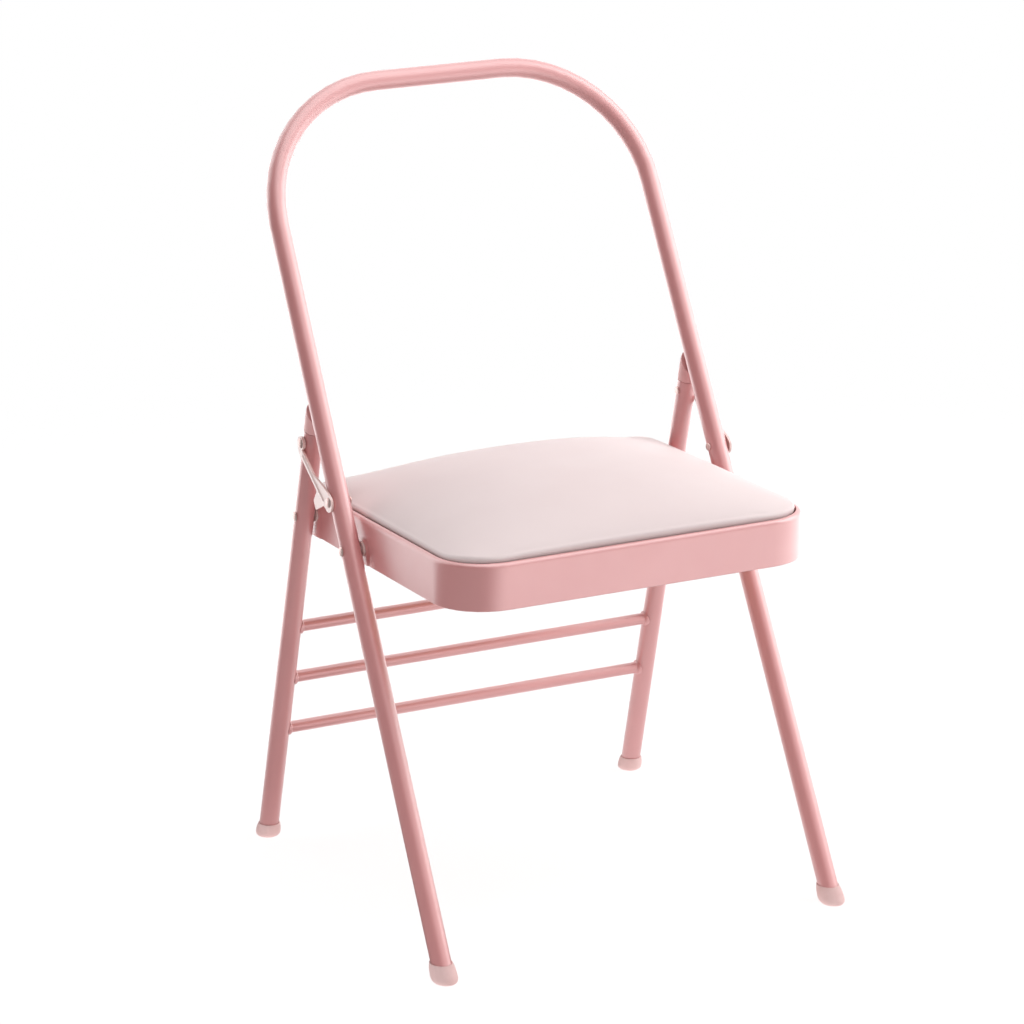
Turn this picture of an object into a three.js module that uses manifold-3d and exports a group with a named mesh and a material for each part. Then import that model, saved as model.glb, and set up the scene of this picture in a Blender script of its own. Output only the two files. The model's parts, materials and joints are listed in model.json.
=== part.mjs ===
// Folding yoga chair without a backrest: bent U front frame, pressed seat with a cushion,
// rear leg frame with three rungs and a flat link on each side. Millimetres, +Z up.
// +Y points to the back and +X to the right of a viewer who stands in front of the chair.
import * as THREE from 'three';
import { mergeVertices } from 'three/addons/utils/BufferGeometryUtils.js';
import Module from 'manifold-3d';

const wasm = await Module();
wasm.setup();
const { Manifold, Mesh } = wasm;

// ---- Clearances ----
const GAP = 0.3;            // between pieces that touch
const BORE_CLEARANCE = 0.3; // on the radius of a shank or plug in its hole
const OVERRUN = 2;          // how far a cutter runs past what it cuts

// ---- Frame tubes ----
const TUBE_RADIUS = 10;
const TUBE_WALL = 1.5;
const FRONT_LEAN = 29.85;       // degrees back from upright
const FRONT_LENGTH = 895;       // floor to the top bar, along the lean
const FRONT_FOOT_HALF = 214.6;  // half the spacing of the tubes at the floor
const FRONT_TAPER = 8;          // how much less it is at the top bar
const FRONT_BEND = 138;         // centre line radius of the two shoulders
const REAR_LEAN = 14.84;        // degrees forward from upright
const REAR_FOOT_INSET = 1.4;    // rear tubes inside the front ones at the floor
const REAR_END_INSET = 0.4;     // and at their upper ends

// ---- Rungs of the rear frame ----
const RUNG_RADIUS = 6;
const RUNG_WALL = 1.2;
const RUNG_HEIGHTS = [246.8, 187.6, 127.7];
const WELD_LEG = 2;             // size of the weld bead at a rung end

// ---- Seat height and the pivots on the tube axes ----
const SEAT_HEIGHT = 400.2;          // floor to the rim, at the middle of the seat
const SEAT_PITCH = 2;               // degrees, front edge up
const SEAT_FRONT_PIVOT_DROP = 30.5; // that rim height down to the seat's pivot on the front tube
const SEAT_REAR_PIVOT_DROP = 25.9;  // and down to its pivot on the rear leg
const LINK_PIVOT_RISE = 12.5;       // and up to the link's pivot on the front tube
const LINK_RISE = 43.3;             // from there up to its pivot on the rear leg
const REAR_END_RISE = 11.5;         // from there up to the end of the rear tube
const CROSSING_RISE = 35.5;         // from there up to where the tube axes cross

// ---- Rivets and washers ----
const SHANK_RADIUS = 3;
const HEAD_RADIUS = 5;
const HEAD_HEIGHT = 1.4;
const TAIL_RADIUS = 4;
const TAIL_HEIGHT = 1;
const WASHER_RADIUS = 7.5;
const LINK_WASHER_RADIUS = 6.4;

// ---- Seat pan ----
const SHEET = 1.2;              // thickness of the pressed steel
const SEAT_SIDE_GAP = 2.6;      // front tube to the face of a pivot boss
const SEAT_DEPTH = 352;
const SEAT_TAIL = 35.8;         // rear pivot to the back of the seat
const SKIRT_HEIGHT = 45.8;
const FRONT_CORNER = 54;
const REAR_CORNER = 30;
const RIM_RADIUS = 4.4;
const RIM_LAND = 0.5;           // flat crest of the rim
const RIM_INNER_CHAMFER = 0.6;
const SKIRT_LIP = 7;            // inward return at the lower edge
const LIP_CHAMFER = 1;
const RECESS_DEPTH = 11;        // rim crest to the ledge under the cushion
const LEDGE_WIDTH = 32;
const LEDGE_CORNER = 3;
const BOSS_REACH = 1.6;         // how far a pressed pivot boss stands out
const BOSS_BASE_RADIUS = 13;
const BOSS_FACE_RADIUS = 9;

// ---- Cushion, its board and the board screws ----
const CUSHION_GAP = 1.2;
const CUSHION_EDGE = 3;         // how far the edge stands above the rim
const CUSHION_CROWN = 40;       // and the middle above that edge
const CUSHION_UNDERCUT = 3;
const CUSHION_ROUND = 3;        // rounding of the upper edge
const BOARD_THICKNESS = 6;
const BOARD_INSET = 1.5;
const BOARD_CHAMFER = 0.8;
const SCREW_RADIUS = 2;
const SCREW_HEAD_RADIUS = 4;
const SCREW_HEAD_HEIGHT = 2;
const SCREW_REACH = 4.5;
const SCREW_INSET = 24;
const SCREW_END_DISTANCE = 74;

// ---- Links ----
const LINK_THICKNESS = 2.2;
const LINK_EYE_RADIUS = 6.8;
const LINK_EYE_WRAP = 35;       // degrees that the eye's rim runs on below the pivots' line
const LINK_BAR_HALF = 3.9;
const LINK_BAR_DROP = 7.5;      // the bar runs this far behind the line of its pivots
const LINK_ROOT_RADIUS = 8.8;
const LINK_ROOT_DROP = 1.4;
const LINK_NECK = 38;           // root to the start of the straight bar
const LOBE_REACH = 29;          // stop lobe, from the line of the pivots
const LOBE_START = 6;
const LOBE_END = 25;
const LOBE_TIP = 9;             // width of the lobe at its tip
const LOBE_SLANT = 4;           // the tip's outer corner is this much nearer
const LOBE_ROUND = 2.5;
const BEAD_HALF = 1.8;
const BEAD_HEIGHT = 0.8;
const BEAD_END = 11;            // eye centre to the end of the bead

// ---- Boots and end caps ----
const BOOT_FLOOR = 4;           // rubber under the lowest point of a tube end
const BOOT_LIP_WALL = 1.1;
const BOOT_SOLE_ROUND = 4.2;
const BOOT_BELLY_HEIGHT = 6.5;  // where the boot starts to narrow towards its lip
const BOOT_SHOULDER_SHARE = 0.7; // of its flare that is left halfway up from there
const FRONT_BOOT_HEIGHT = 16.8;
const FRONT_BOOT_FLARE = 3;     // belly outside the tube
const REAR_BOOT_HEIGHT = 15.2;
const REAR_BOOT_FLARE = 2.7;
const CAP_LIP = 0.2;            // cap outside the tube
const CAP_LENGTH = 36;
const CAP_SHOULDER = 21;        // straight part of the cap before its dome
const CAP_SEAM = 0.5;
const CAP_PLUG = 6;
const CAP_REST_GAP = 0.4;       // cap to the back of the front tube, unfolded

// ---- Facet counts ----
const TUBE_SIDES = 24;
const BORE_SIDES = 16;
const ROUND_SIDES = 20;
const SMALL_SIDES = 16;
const BEND_STEPS = 12;
const CORNER_STEPS = 8;
const EDGE_STEPS = 9;
const DOME_STEPS = 4;
const SOLE_STEPS = 3;
const CAP_STEPS = 6;
const RIM_STEPS = 3;

const UP = new THREE.Vector3(0, 1, 0);
const ACROSS = new THREE.Vector3(1, 0, 0);
const SIDES = { left: -1, right: 1 };

// ---- Shape of the cushion's crown ----
// Rings of the cover as shares of the run from its middle to its edge, then the powers of its rise.
const cushionRingShares = [1, 0.97, 0.92, 0.84, 0.74, 0.61, 0.46, 0.3, 0.14];
const ACROSS_POWER = 3.3;
const ACROSS_ROOT = 1.4;
const FRONT_POWER = 2.45;
const FRONT_ROOT = 0.65;
const BACK_POWER = 3;
const BACK_ROOT = 1.25;

const radians = (degrees) => degrees * Math.PI / 180;

// ---- Axis lines of the tubes, before the model is centred ----
const frontSlope = Math.tan(radians(FRONT_LEAN));
const frontHeadHeight = FRONT_LENGTH * Math.cos(radians(FRONT_LEAN));
const rearSlope = -Math.tan(radians(REAR_LEAN));
const linkFrontPivot = SEAT_HEIGHT + LINK_PIVOT_RISE;
const linkRearPivot = linkFrontPivot + LINK_RISE;
const rearHeight = linkRearPivot + REAR_END_RISE;
const rearSpread = (rearHeight + CROSSING_RISE) * (frontSlope - rearSlope);
const seatFrontPivot = SEAT_HEIGHT - SEAT_FRONT_PIVOT_DROP;
const seatRearPivot = SEAT_HEIGHT - SEAT_REAR_PIVOT_DROP;
const frontBootStretch = 1 / Math.cos(radians(FRONT_LEAN));
const frontReach = Math.min(...bootProfile(FRONT_BOOT_FLARE, FRONT_BOOT_HEIGHT)
  .map(([radius, height]) => height * frontSlope - radius * frontBootStretch));
const backReach = frontHeadHeight * frontSlope + TUBE_RADIUS;
const centreShift = -(frontReach + backReach) / 2;

function onFront(side, height) {
  const half = FRONT_FOOT_HALF - FRONT_TAPER * height / frontHeadHeight;
  return new THREE.Vector3(side * half, centreShift + height * frontSlope, height);
}

function onRear(side, height) {
  const foot = FRONT_FOOT_HALF - REAR_FOOT_INSET;
  const end = onFront(1, rearHeight).x - REAR_END_INSET;
  const half = foot + (end - foot) * height / rearHeight;
  return new THREE.Vector3(side * half, centreShift + rearSpread + height * rearSlope, height);
}

const frontAxis = (side) => onFront(side, frontHeadHeight).sub(onFront(side, 0)).normalize();
const rearAxis = (side) => onRear(side, rearHeight).sub(onRear(side, 0)).normalize();

// Distance of a tube's side from the middle plane, at a height.
const outerCrest = (line, height) => line(1, height).x + TUBE_RADIUS;
const innerCrest = (line, height) => line(1, height).x - TUBE_RADIUS;

// ---- Places that several pieces share ----
const seatBackY = onRear(1, seatRearPivot).y + SEAT_TAIL;
const seatFrontY = seatBackY - SEAT_DEPTH;
const rimTop = SEAT_HEIGHT;
const seatBottom = rimTop - SKIRT_HEIGHT;
const seatMiddle = new THREE.Vector3(0, (seatFrontY + seatBackY) / 2, rimTop);
const ledgeTop = rimTop - RECESS_DEPTH;
const recessInset = RIM_RADIUS + RIM_LAND + RIM_INNER_CHAMFER;
const ledgeInset = recessInset + LEDGE_WIDTH;
const cushionInset = recessInset + CUSHION_GAP;
const boardTop = ledgeTop + GAP + BOARD_THICKNESS;
const bossFace = innerCrest(onFront, seatFrontPivot) - SEAT_SIDE_GAP;
const seatHalfWidth = bossFace - BOSS_REACH;
const bossInnerFace = bossFace - SHEET;
const linkInner = outerCrest(onFront, linkFrontPivot) + GAP;
const linkOuter = linkInner + LINK_THICKNESS;
const holeRadius = SHANK_RADIUS + BORE_CLEARANCE;

// ---- Mesh and solid helpers ----
function signedVolume(points, index) {
  let sum = 0;
  for (let i = 0; i < index.length; i += 3) {
    const a = new THREE.Vector3().fromArray(points, index[i] * 3);
    const b = new THREE.Vector3().fromArray(points, index[i + 1] * 3);
    const c = new THREE.Vector3().fromArray(points, index[i + 2] * 3);
    sum += a.dot(b.cross(c));
  }
  return sum;
}

// A boolean-ready solid with its faces turned outwards.
function solid(geometry) {
  const bare = geometry.clone();
  bare.deleteAttribute('normal');
  bare.deleteAttribute('uv');
  const merged = mergeVertices(bare);
  const points = Float32Array.from(merged.attributes.position.array);
  const index = Uint32Array.from(merged.index.array);
  if (signedVolume(points, index) < 0) {
    index.reverse();
  }
  return new Manifold(new Mesh({ numProp: 3, vertProperties: points, triVerts: index }));
}

function toGeometry(body) {
  const mesh = body.getMesh();
  const geometry = new THREE.BufferGeometry();
  geometry.setAttribute('position', new THREE.BufferAttribute(Float32Array.from(mesh.vertProperties), 3));
  geometry.setIndex(new THREE.BufferAttribute(Uint32Array.from(mesh.triVerts), 1));
  geometry.computeVertexNormals();
  return geometry;
}

// Skin through rings with equal point counts. A loop joins the last ring to the first.
function loft(rings, loop = false) {
  const count = rings[0].length;
  const points = rings.flat();
  const index = [];
  const spans = loop ? rings.length : rings.length - 1;
  for (let r = 0; r < spans; r += 1) {
    const here = r * count;
    const there = ((r + 1) % rings.length) * count;
    for (let i = 0; i < count; i += 1) {
      const next = (i + 1) % count;
      index.push(here + i, here + next, there + next);
      index.push(here + i, there + next, there + i);
    }
  }
  const closed = loop ? points : capEnds(points, index, rings, count);
  const geometry = new THREE.BufferGeometry().setFromPoints(closed);
  geometry.setIndex(index);
  return geometry;
}

function capEnds(points, index, rings, count) {
  const first = rings[0];
  const last = rings[rings.length - 1];
  const base = points.length;
  const offset = (rings.length - 1) * count;
  for (let i = 0; i < count; i += 1) {
    const next = (i + 1) % count;
    index.push(base, next, i);
    index.push(base + 1, offset + i, offset + next);
  }
  return [...points, middle(first), middle(last)];
}

function middle(ring) {
  const sum = new THREE.Vector3();
  ring.forEach((point) => sum.add(point));
  return sum.divideScalar(ring.length);
}

// Body of revolution on any axis. Profile points are [radius, distance along the axis].
function turned(profile, origin, axis, sides) {
  const outline = profile.map(([radius, along]) => new THREE.Vector2(radius, along));
  const geometry = new THREE.LatheGeometry(outline, sides);
  geometry.applyQuaternion(new THREE.Quaternion().setFromUnitVectors(UP, axis));
  geometry.translate(origin.x, origin.y, origin.z);
  return solid(geometry);
}

function rod(from, to, radius, sides) {
  const axis = to.clone().sub(from);
  const length = axis.length();
  return turned([[0, 0], [radius, 0], [radius, length], [0, length]], from, axis.normalize(), sides);
}

// A round cutter across the chair, centred on a pivot.
function crossBore(centre, radius, halfLength) {
  const from = new THREE.Vector3(centre.x - halfLength, centre.y, centre.z);
  const to = new THREE.Vector3(centre.x + halfLength, centre.y, centre.z);
  return rod(from, to, radius, SMALL_SIDES);
}

// ---- Tubes ----
class StationPath extends THREE.Curve {
  constructor(stations) {
    super();
    this.stations = stations;
  }

  station(t) {
    return this.stations[Math.round(t * (this.stations.length - 1))];
  }

  getPoint(t, target = new THREE.Vector3()) {
    return target.copy(this.station(t).point);
  }

  getPointAt(t, target) {
    return this.getPoint(t, target);
  }

  getTangentAt(t, target = new THREE.Vector3()) {
    return target.copy(this.station(t).tangent);
  }
}

// Stations along straight runs joined by round bends of one radius.
function bentStations(corners, radius, steps) {
  const stations = [];
  const runs = corners.slice(1).map((corner, i) => corner.clone().sub(corners[i]).normalize());
  stations.push({ point: corners[0], tangent: runs[0] });
  for (let i = 1; i < corners.length - 1; i += 1) {
    const before = runs[i - 1];
    const after = runs[i];
    const turn = before.angleTo(after);
    const inward = after.clone().addScaledVector(before, -Math.cos(turn)).normalize();
    const start = corners[i].clone().addScaledVector(before, -radius * Math.tan(turn / 2));
    for (let k = 0; k <= steps; k += 1) {
      const angle = turn * k / steps;
      const point = start.clone()
        .addScaledVector(before, radius * Math.sin(angle))
        .addScaledVector(inward, radius * (1 - Math.cos(angle)));
      const tangent = before.clone()
        .multiplyScalar(Math.cos(angle))
        .addScaledVector(inward, Math.sin(angle));
      stations.push({ point, tangent });
    }
  }
  stations.push({ point: corners[corners.length - 1], tangent: runs[runs.length - 1] });
  return stations;
}

function circleShape(radius, sides, Kind = THREE.Shape) {
  const shape = new Kind();
  for (let i = 0; i < sides; i += 1) {
    const angle = 2 * Math.PI * i / sides;
    const move = i === 0 ? 'moveTo' : 'lineTo';
    shape[move](radius * Math.cos(angle), radius * Math.sin(angle));
  }
  shape.closePath();
  return shape;
}

function tube(stations) {
  const section = circleShape(TUBE_RADIUS, TUBE_SIDES);
  section.holes.push(circleShape(TUBE_RADIUS - TUBE_WALL, BORE_SIDES, THREE.Path));
  const steps = stations.length - 1;
  return solid(new THREE.ExtrudeGeometry(section, { steps, extrudePath: new StationPath(stations) }));
}

function drilled(body, centres) {
  const bores = centres.map((centre) => crossBore(centre, holeRadius, TUBE_RADIUS + OVERRUN));
  return bores.reduce((rest, bore) => rest.subtract(bore), body);
}

// Height of a tube's lower end, so that the boot keeps its floor under the whole end.
const tubeEndHeight = (lean) => BOOT_FLOOR + TUBE_RADIUS * Math.sin(radians(lean));

function frontTube() {
  const foot = tubeEndHeight(FRONT_LEAN);
  const corners = [
    onFront(-1, foot),
    onFront(-1, frontHeadHeight),
    onFront(1, frontHeadHeight),
    onFront(1, foot),
  ];
  const pivots = [-1, 1].flatMap((side) => [
    onFront(side, seatFrontPivot),
    onFront(side, linkFrontPivot),
  ]);
  return drilled(tube(bentStations(corners, FRONT_BEND, BEND_STEPS)), pivots);
}

function rearTube(side) {
  const corners = [onRear(side, tubeEndHeight(REAR_LEAN)), onRear(side, rearHeight)];
  const pivots = [onRear(side, seatRearPivot), onRear(side, linkRearPivot)];
  return drilled(tube(bentStations(corners, 0, 1)), pivots);
}

// A rung with a weld bead at each end, cut to the round of the leg tubes.
function rung(height) {
  const left = onRear(-1, height);
  const right = onRear(1, height);
  const length = right.x - left.x;
  const weld = TUBE_RADIUS + WELD_LEG;
  const profile = [
    [0, 0],
    [RUNG_RADIUS + WELD_LEG, 0],
    [RUNG_RADIUS + WELD_LEG, TUBE_RADIUS],
    [RUNG_RADIUS + WELD_LEG / 3, weld - WELD_LEG / 3],
    [RUNG_RADIUS, weld],
    [RUNG_RADIUS, length - weld],
    [RUNG_RADIUS + WELD_LEG / 3, length - weld + WELD_LEG / 3],
    [RUNG_RADIUS + WELD_LEG, length - TUBE_RADIUS],
    [RUNG_RADIUS + WELD_LEG, length],
    [0, length],
  ];
  let body = turned(profile, left, ACROSS, ROUND_SIDES);
  body = body.subtract(rod(left, right, RUNG_RADIUS - RUNG_WALL, SMALL_SIDES));
  for (const side of [-1, 1]) {
    const reach = RUNG_RADIUS + WELD_LEG + TUBE_RADIUS;
    const low = onRear(side, height).addScaledVector(rearAxis(side), -reach);
    const high = onRear(side, height).addScaledVector(rearAxis(side), reach);
    body = body.subtract(rod(low, high, TUBE_RADIUS + GAP, TUBE_SIDES));
  }
  return body;
}

// ---- Rivets and washers ----
// Outward profile from the tail head's inner face to the crown of the outer head.
function rivet(side, centre, tailFace, outerSeat, tailHeight = TAIL_HEIGHT, tailRadius = TAIL_RADIUS) {
  const start = tailFace - tailHeight;
  const profile = [
    [0, start],
    [tailRadius - tailHeight / 2, start],
    [tailRadius, start + tailHeight / 2],
    [tailRadius, tailFace],
    [SHANK_RADIUS, tailFace],
    [SHANK_RADIUS, outerSeat],
    ...headProfile(outerSeat),
  ];
  return acrossBody(profile, side, centre);
}

function headProfile(seat) {
  const points = [];
  for (let i = 0; i <= DOME_STEPS; i += 1) {
    const angle = Math.PI / 2 * i / DOME_STEPS;
    const radius = i === DOME_STEPS ? 0 : HEAD_RADIUS * Math.cos(angle);
    points.push([radius, seat + HEAD_HEIGHT * Math.sin(angle)]);
  }
  return points;
}

// Revolves a profile about a line across the chair; distances count from the middle plane.
function acrossBody(profile, side, centre) {
  const origin = new THREE.Vector3(0, centre.y, centre.z);
  return turned(profile, origin, new THREE.Vector3(side, 0, 0), SMALL_SIDES);
}

function washer(side, centre, from, to, radius) {
  const ring = acrossBody([[0, from], [radius, from], [radius, to], [0, to]], side, centre);
  const middleX = side * (from + to) / 2;
  const hub = new THREE.Vector3(middleX, centre.y, centre.z);
  return ring.subtract(crossBore(hub, holeRadius, to - from + OVERRUN));
}

function seatFrontRivet(side) {
  const seat = outerCrest(onFront, seatFrontPivot) + GAP;
  return rivet(side, onFront(side, seatFrontPivot), bossInnerFace - GAP, seat);
}

function seatRearRivet(side) {
  const seat = outerCrest(onRear, seatRearPivot) + GAP;
  return rivet(side, onRear(side, seatRearPivot), bossInnerFace - GAP, seat);
}

function linkFrontRivet(side) {
  const tail = innerCrest(onFront, linkFrontPivot) - GAP;
  return rivet(side, onFront(side, linkFrontPivot), tail, linkOuter + GAP);
}

// The part of the upper link rivet that stays in the rear leg, up to the link's inner face.
function linkRearRivet(side) {
  const tail = innerCrest(onRear, linkRearPivot) - GAP;
  const start = tail - TAIL_HEIGHT;
  const end = linkInner - GAP;
  const profile = [
    [0, start],
    [TAIL_RADIUS - TAIL_HEIGHT / 2, start],
    [TAIL_RADIUS, start + TAIL_HEIGHT / 2],
    [TAIL_RADIUS, tail],
    [SHANK_RADIUS, tail],
    [SHANK_RADIUS, end],
    [0, end],
  ];
  return acrossBody(profile, side, onRear(side, linkRearPivot));
}

// The part of the upper link rivet that rides in the link's eye.
function linkRivetHead(side) {
  const profile = [
    [0, linkInner],
    [SHANK_RADIUS, linkInner],
    [SHANK_RADIUS, linkOuter + GAP],
    ...headProfile(linkOuter + GAP),
  ];
  return acrossBody(profile, side, onRear(side, linkRearPivot));
}

function seatFrontWasher(side) {
  const end = innerCrest(onFront, seatFrontPivot) - GAP;
  return washer(side, onFront(side, seatFrontPivot), bossFace + GAP, end, WASHER_RADIUS);
}

function seatRearWasher(side) {
  const end = innerCrest(onRear, seatRearPivot) - GAP;
  return washer(side, onRear(side, seatRearPivot), bossFace + GAP, end, WASHER_RADIUS);
}

function linkWasher(side) {
  const start = outerCrest(onRear, linkRearPivot) + GAP;
  return washer(side, onRear(side, linkRearPivot), start, linkInner - GAP, LINK_WASHER_RADIUS);
}

// ---- Seat, modelled level and then pitched about the middle of its rim ----
function levelled(point) {
  return point.clone().sub(seatMiddle).applyAxisAngle(ACROSS, radians(SEAT_PITCH)).add(seatMiddle);
}

function pitched(body) {
  const { x, y, z } = seatMiddle;
  return body.translate([-x, -y, -z]).rotate([-SEAT_PITCH, 0, 0]).translate([x, y, z]);
}

const seatPivots = (side) => [onFront(side, seatFrontPivot), onRear(side, seatRearPivot)].map(levelled);

// Rounded rectangle around the seat, drawn in from the skirt's outer face.
function seatRing(inset, height) {
  const halfX = seatHalfWidth - inset;
  const front = seatFrontY + inset;
  const back = seatBackY - inset;
  const frontRadius = Math.max(FRONT_CORNER - inset, LEDGE_CORNER);
  const backRadius = Math.max(REAR_CORNER - inset, LEDGE_CORNER);
  const corners = [
    [halfX - frontRadius, front + frontRadius, frontRadius, -Math.PI / 2],
    [halfX - backRadius, back - backRadius, backRadius, 0],
    [-halfX + backRadius, back - backRadius, backRadius, Math.PI / 2],
    [-halfX + frontRadius, front + frontRadius, frontRadius, Math.PI],
  ];
  const ring = [];
  for (const [x, y, radius, startAngle] of corners) {
    for (let i = 0; i <= CORNER_STEPS; i += 1) {
      const angle = startAngle + Math.PI / 2 * i / CORNER_STEPS;
      ring.push(new THREE.Vector3(x + radius * Math.cos(angle), y + radius * Math.sin(angle), height));
    }
  }
  return ring;
}

// Adds points along the straight sides of a seat ring.
function withSidePoints(ring) {
  return ring.flatMap((point, i) => {
    if ((i + 1) % (CORNER_STEPS + 1) !== 0) {
      return [point];
    }
    const next = ring[(i + 1) % ring.length];
    const added = [];
    for (let k = 0; k < EDGE_STEPS; k += 1) {
      added.push(point.clone().lerp(next, k / EDGE_STEPS));
    }
    return added;
  });
}

// Wall section of the pan as [inset, height], once round the sheet.
function panSection() {
  const outside = [
    [SKIRT_LIP, seatBottom],
    [LIP_CHAMFER, seatBottom],
    [0, seatBottom + LIP_CHAMFER],
    ...rimArc(RIM_RADIUS, 0),
    [RIM_RADIUS + RIM_LAND, rimTop],
    [recessInset, rimTop - RIM_INNER_CHAMFER],
    [recessInset, ledgeTop],
    [ledgeInset, ledgeTop],
  ];
  const inside = [
    [ledgeInset, ledgeTop - SHEET],
    [recessInset - SHEET, ledgeTop - SHEET],
    [recessInset - SHEET, rimTop - SHEET - RIM_INNER_CHAMFER],
    ...rimArc(RIM_RADIUS - SHEET, SHEET).reverse(),
    [SHEET, seatBottom + SHEET],
    [SKIRT_LIP, seatBottom + SHEET],
  ];
  return [...outside, ...inside];
}

function rimArc(radius, inset) {
  const points = [];
  for (let i = 0; i <= RIM_STEPS; i += 1) {
    const angle = Math.PI / 2 * i / RIM_STEPS;
    const drawn = inset + radius * (1 - Math.cos(angle));
    points.push([drawn, rimTop - inset - radius * (1 - Math.sin(angle))]);
  }
  return points;
}

// Outline of a pivot boss: round over the pivot, straight down to a foot height.
function bossRing(side, pivot, face, radius, foot) {
  const ring = [];
  for (let i = 0; i <= CORNER_STEPS; i += 1) {
    const angle = Math.PI * i / CORNER_STEPS;
    ring.push(new THREE.Vector3(
      side * face,
      pivot.y + radius * Math.cos(angle),
      pivot.z + radius * Math.sin(angle),
    ));
  }
  ring.push(new THREE.Vector3(side * face, pivot.y - radius, foot));
  ring.push(new THREE.Vector3(side * face, pivot.y + radius, foot));
  return ring;
}

function bossBody(side, pivot) {
  const base = bossRing(side, pivot, seatHalfWidth - SHEET / 2, BOSS_BASE_RADIUS, seatBottom + SHEET);
  const face = bossRing(side, pivot, bossFace, BOSS_FACE_RADIUS, seatBottom + SHEET);
  return solid(loft([base, face]));
}

function bossHollow(side, pivot) {
  const foot = seatBottom - OVERRUN;
  const inner = BOSS_BASE_RADIUS - SHEET;
  const start = bossRing(side, pivot, seatHalfWidth - SHEET - OVERRUN, inner, foot);
  const base = bossRing(side, pivot, seatHalfWidth - SHEET, inner, foot);
  const face = bossRing(side, pivot, bossInnerFace, BOSS_FACE_RADIUS - SHEET, foot);
  return solid(loft([start, base, face]));
}

function screwPlaces() {
  const x = seatHalfWidth - SCREW_INSET;
  const front = seatFrontY + SCREW_END_DISTANCE;
  const back = seatBackY - SCREW_END_DISTANCE;
  return {
    front_left: new THREE.Vector3(-x, front, ledgeTop),
    front_right: new THREE.Vector3(x, front, ledgeTop),
    back_left: new THREE.Vector3(-x, back, ledgeTop),
    back_right: new THREE.Vector3(x, back, ledgeTop),
  };
}

function uprightBore(place, from, to, radius) {
  const low = new THREE.Vector3(place.x, place.y, from);
  const high = new THREE.Vector3(place.x, place.y, to);
  return rod(low, high, radius, SMALL_SIDES);
}

function seatPan() {
  let body = solid(loft(panSection().map(([inset, height]) => seatRing(inset, height)), true));
  for (const side of [-1, 1]) {
    for (const pivot of seatPivots(side)) {
      const bore = new THREE.Vector3(side * bossFace, pivot.y, pivot.z);
      body = body.add(bossBody(side, pivot));
      body = body.subtract(bossHollow(side, pivot));
      body = body.subtract(crossBore(bore, holeRadius, BOSS_REACH + OVERRUN));
    }
  }
  for (const place of Object.values(screwPlaces())) {
    const low = ledgeTop - SHEET - OVERRUN;
    body = body.subtract(uprightBore(place, low, ledgeTop + OVERRUN, SCREW_RADIUS + BORE_CLEARANCE));
  }
  return pitched(body);
}

function cushionBoard() {
  const inset = cushionInset + BOARD_INSET;
  const low = ledgeTop + GAP;
  let body = solid(loft([
    seatRing(inset + BOARD_CHAMFER, low),
    seatRing(inset, low + BOARD_CHAMFER),
    seatRing(inset, boardTop - BOARD_CHAMFER),
    seatRing(inset + BOARD_CHAMFER, boardTop),
  ]));
  for (const place of Object.values(screwPlaces())) {
    const depth = ledgeTop + SCREW_REACH + GAP;
    body = body.subtract(uprightBore(place, low - OVERRUN, depth, SCREW_RADIUS + BORE_CLEARANCE));
  }
  return pitched(body);
}

function boardScrew(place) {
  const seat = ledgeTop - SHEET - GAP;
  const low = seat - SCREW_HEAD_HEIGHT;
  const tip = ledgeTop + SCREW_REACH;
  const profile = [
    [0, low],
    [SCREW_HEAD_RADIUS - SCREW_HEAD_HEIGHT / 2, low],
    [SCREW_HEAD_RADIUS, seat - SCREW_HEAD_HEIGHT / 2],
    [SCREW_HEAD_RADIUS, seat],
    [SCREW_RADIUS, seat],
    [SCREW_RADIUS, tip - SCREW_RADIUS],
    [0, tip],
  ];
  const upright = new THREE.Vector3(0, 0, 1);
  return pitched(turned(profile, new THREE.Vector3(place.x, place.y, 0), upright, SMALL_SIDES));
}

const swell = (share, power, root) => Math.max(1 - Math.abs(share) ** power, 0) ** root;

// Height of the cushion's cover over a point of the seat.
function crownHeight(x, y) {
  const halfX = seatHalfWidth - cushionInset;
  const halfY = SEAT_DEPTH / 2 - cushionInset;
  const across = x / halfX;
  const along = (y - seatMiddle.y) / halfY;
  const power = along < 0 ? FRONT_POWER : BACK_POWER;
  const root = along < 0 ? FRONT_ROOT : BACK_ROOT;
  const rise = swell(across, ACROSS_POWER, ACROSS_ROOT) * swell(along, power, root);
  return rimTop + CUSHION_EDGE + CUSHION_CROWN * rise;
}

// The cover's rings shrink towards the middle of the seat and ride on the crown.
function crownRing(share) {
  const edge = withSidePoints(seatRing(cushionInset + CUSHION_ROUND, 0));
  return edge.map((point) => {
    const x = point.x * share;
    const y = seatMiddle.y + (point.y - seatMiddle.y) * share;
    return new THREE.Vector3(x, y, crownHeight(x, y));
  });
}

function cushion() {
  const low = boardTop + GAP;
  const edgeTop = rimTop + CUSHION_EDGE;
  const sides = [
    seatRing(cushionInset + CUSHION_UNDERCUT, low),
    seatRing(cushionInset, low + CUSHION_UNDERCUT),
    seatRing(cushionInset, edgeTop - CUSHION_ROUND),
    seatRing(cushionInset + CUSHION_ROUND / 3, edgeTop - CUSHION_ROUND / 3),
  ];
  const crown = cushionRingShares.map((share) => crownRing(share));
  return pitched(solid(loft([...sides.map((ring) => withSidePoints(ring)), ...crown])));
}

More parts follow.
